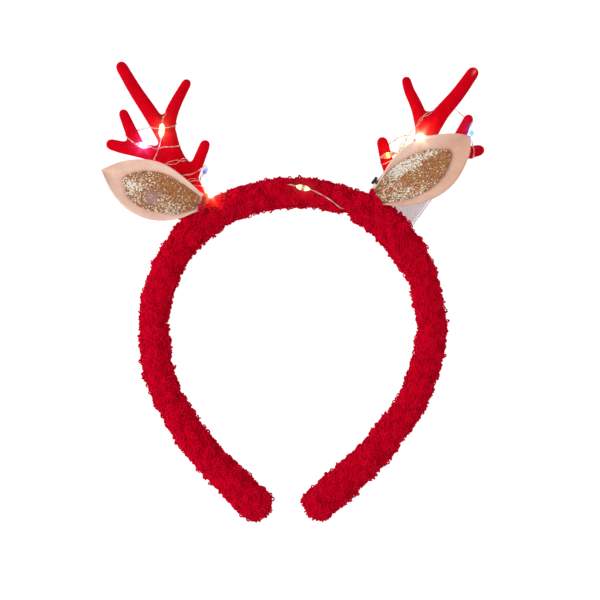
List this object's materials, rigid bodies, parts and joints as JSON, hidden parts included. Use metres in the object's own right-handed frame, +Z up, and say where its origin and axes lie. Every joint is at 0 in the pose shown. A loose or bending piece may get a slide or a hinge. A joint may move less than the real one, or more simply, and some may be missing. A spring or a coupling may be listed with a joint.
{
  "type": "light-up christmas headband",
  "caption": "Padded looped-cloth headband with flocked reindeer antlers, felt ears with glitter linings, a string of coloured lights and a small battery box with a slide switch.",
  "frame": {"origin": "on the surface the band lies on, under the middle of the whole outline", "axes": "+X across the band towards its battery box, +Y from the open ends to the crown and antlers, +Z up out of the surface, from the band's back to its front"},
  "size_m": [0.178, 0.2153, 0.0279],
  "materials": {
    "cloth_red": "looped boucle pile",
    "flock_red": "short flock, matt",
    "felt_tan": "pressed felt, matt",
    "glitter_gold": "gold glitter flakes on cloth",
    "case_milky": "milky clear moulded plastic",
    "switch_black": "moulded, satin",
    "wire_copper": "lacquered copper",
    "led_warm": "clear resin drop, lit warm white",
    "led_magenta": "clear resin drop, lit magenta",
    "led_blue": "clear resin drop, lit blue",
    "led_green": "clear resin drop, lit green"
  },
  "bodies": {
    "headband": {"band": "cloth_red", "antler_left": "flock_red", "antler_right": "flock_red", "ear_left": "felt_tan", "ear_right": "felt_tan", "ear_lining_left": "glitter_gold", "ear_lining_right": "glitter_gold", "battery_box": "case_milky", "switch_body": "switch_black", "light_wire": "wire_copper", "led_01": "led_warm", "led_02": "led_magenta", "led_03": "led_blue", "led_04": "led_warm", "led_05": "led_warm", "led_06": "led_warm", "led_07": "led_warm", "led_08": "led_green", "led_09": "led_blue"},
    "switch": {"switch_slider": "switch_black"}
  },
  "joints": [
    {"name": "switch_slide", "type": "slide", "parent": "headband", "child": "switch", "axis": [0.5878, 0.809, 0], "range_m": [0, 0.002]}
  ]
}
